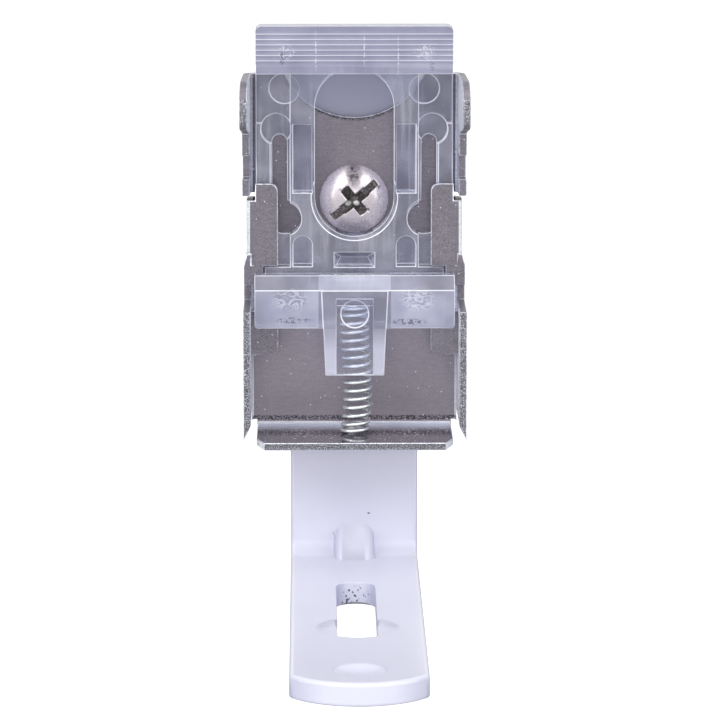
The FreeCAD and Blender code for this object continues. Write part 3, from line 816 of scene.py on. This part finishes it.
def wound_wire():
    """The coil as three spins of one wire section: closed, open and closed turns, then bowed."""
    open_turns = coil_turns - 2
    open_pitch = (coil_high - coil_low - 2 * wire_radius - 2 * closed_pitch) / open_turns
    work = bmesh.new()
    start = Matrix.Translation((0, coil_y + coil_radius, coil_low + wire_radius))
    bmesh.ops.create_circle(work, cap_ends=True, radius=wire_radius, segments=wire_sides,
                            matrix=start @ Matrix.Rotation(math.pi / 2, 4, "Y"))
    live = list(work.faces)
    for turns, pitch in ((1, closed_pitch), (open_turns, open_pitch), (1, closed_pitch)):
        turned = bmesh.ops.spin(work, geom=live, cent=(0, coil_y, 0), axis=(0, 0, 1),
                                dvec=(0, 0, pitch / sections_per_turn), angle=2 * math.pi * turns,
                                steps=sections_per_turn * turns, use_duplicate=False)
        live = [item for item in turned["geom_last"] if isinstance(item, bmesh.types.BMFace)]
    bmesh.ops.remove_doubles(work, verts=work.verts, dist=1e-7)
    for vert in work.verts:
        vert.co.x += bow * math.sin(math.pi * min(1.0, (vert.co.z - coil_low) / bow_height))
    bmesh.ops.recalc_face_normals(work, faces=work.faces)
    for face in work.faces:
        face.smooth = len(face.verts) == 4
    return new_object(work, "spring_coil")


def spring_steel():
    """Bright drawn wire, with painted shade along the underside of each turn."""
    made, tree, shader = blank_material("drawn_spring_wire")
    grain = place_mottle(tree, broad=600.0, fine=3000.0, detail=3.0)
    tint = ramp(tree, grain.outputs["Broad"], [(0.3, (0.76, 0.79, 0.80)), (0.7, (0.92, 0.95, 0.96))])
    # painted shade on the faces that turn downwards
    downward = number_from(tree, "MULTIPLY", facing_part(tree, "Z"), -1.0)
    under = ramp(tree, downward, [(0.4, black), (0.75, grey(0.85))])
    shaded = blend_colours(tree, "MIX", under, tint, (0.10, 0.11, 0.14, 1))
    feed(tree, shader.inputs["Base Color"], shaded)
    shader.inputs["Metallic"].default_value = 0.7
    feed(tree, shader.inputs["Roughness"], noise_between(tree, grain.outputs["Fine"], 0.10, 0.18))
    feed(tree, shader.inputs["Normal"], bump(tree, grain.outputs["Fine"], 0.00001, 0.3))
    return made


spring = wound_wire()
spring.data.materials.append(spring_steel())
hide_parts("return_spring")
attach(spring, "bracket")
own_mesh(spring)


# Studio
# A white floor that keeps the soft shadow, pale surroundings, a broad lamp above, three in front
# and one at each side, and the camera in front, a little above.
floor_half = 6.0
floor_glow = 0.72
surroundings_light = 0.42
surroundings_seen = 1.0
bracket_middle = Vector((0, 0.015, 0.04))
film_width = 36.0
photo_width = 724
photo_focus = 4600       # the photo's focal length in its own pixels
camera_place = (-0.00597, -0.5784, 0.1416)
camera_tilt = 10.4
camera_turn = 0.66


def studio_floor():
    """White paper that also gives off a little light to the camera alone."""
    work = bmesh.new()
    bmesh.ops.create_grid(work, x_segments=1, y_segments=1, size=floor_half)
    made = new_object(work, "floor")
    paper, tree, shader = blank_material("white_paper")
    shader.inputs["Base Color"].default_value = (0.75, 0.75, 0.75, 1)
    shader.inputs["Roughness"].default_value = 0.9
    shader.inputs["Specular IOR Level"].default_value = 0.1
    shader.inputs["Emission Color"].default_value = (1, 1, 1, 1)
    seen = tree.nodes.new("ShaderNodeLightPath").outputs["Is Camera Ray"]
    feed(tree, shader.inputs["Emission Strength"], number_from(tree, "MULTIPLY", seen, floor_glow))
    made.data.materials.append(paper)


def surroundings():
    """A world that is white to the camera, in metal and through plastic, and soft as a light."""
    world = bpy.data.worlds.new("studio")
    bpy.context.scene.world = world
    world.use_nodes = True
    tree = world.node_tree
    ground = tree.nodes["Background"]
    ground.inputs["Color"].default_value = (1, 1, 1, 1)
    path = tree.nodes.new("ShaderNodeLightPath").outputs
    direct = number_from(tree, "MAXIMUM", path["Is Camera Ray"], path["Is Transmission Ray"])
    shown = number_from(tree, "MAXIMUM", direct, path["Is Glossy Ray"])
    unscattered = number_from(tree, "LESS_THAN", path["Diffuse Depth"], 0.5)
    level = tree.nodes.new("ShaderNodeMapRange")
    feed(tree, level.inputs["Value"], number_from(tree, "MULTIPLY", shown, unscattered))
    level.inputs["To Min"].default_value = surroundings_light
    level.inputs["To Max"].default_value = surroundings_seen
    feed(tree, ground.inputs["Strength"], level.outputs["Result"])


def soft_lamp(name, place, size, watts):
    """A broad lamp turned towards the bracket."""
    data = bpy.data.lights.new(name, "AREA")
    data.shape = "RECTANGLE"
    data.size, data.size_y = size
    data.energy = watts
    made = bpy.data.objects.new(name, data)
    made.location = place
    made.rotation_euler = (bracket_middle - Vector(place)).to_track_quat("-Z", "Y").to_euler()
    bpy.context.scene.collection.objects.link(made)


def photo_camera():
    data = bpy.data.cameras.new("camera")
    data.sensor_width = film_width
    data.lens = photo_focus / photo_width * film_width
    data.clip_start = 0.01
    made = bpy.data.objects.new("camera", data)
    made.location = camera_place
    made.rotation_euler = (math.radians(90 - camera_tilt), 0, math.radians(-camera_turn))
    bpy.context.scene.collection.objects.link(made)
    bpy.context.scene.camera = made


studio_floor()
surroundings()
soft_lamp("lamp_above", (-0.1, -0.2, 0.9), (0.6, 0.6), 1.2)
soft_lamp("lamp_front_left", (-0.6, -0.75, 0.8), (0.45, 0.6), 4.1)
soft_lamp("lamp_front_right", (0.6, -0.75, 0.8), (0.45, 0.6), 2.8)
soft_lamp("lamp_front_low", (0.0, -1.1, 0.2), (0.5, 0.3), 0.9)
soft_lamp("lamp_left", (-0.8, -0.3, 0.3), (0.4, 0.6), 1.8)
soft_lamp("lamp_right", (0.8, -0.3, 0.3), (0.4, 0.6), 1.8)
photo_camera()
bpy.context.scene.view_settings.view_transform = "Standard"
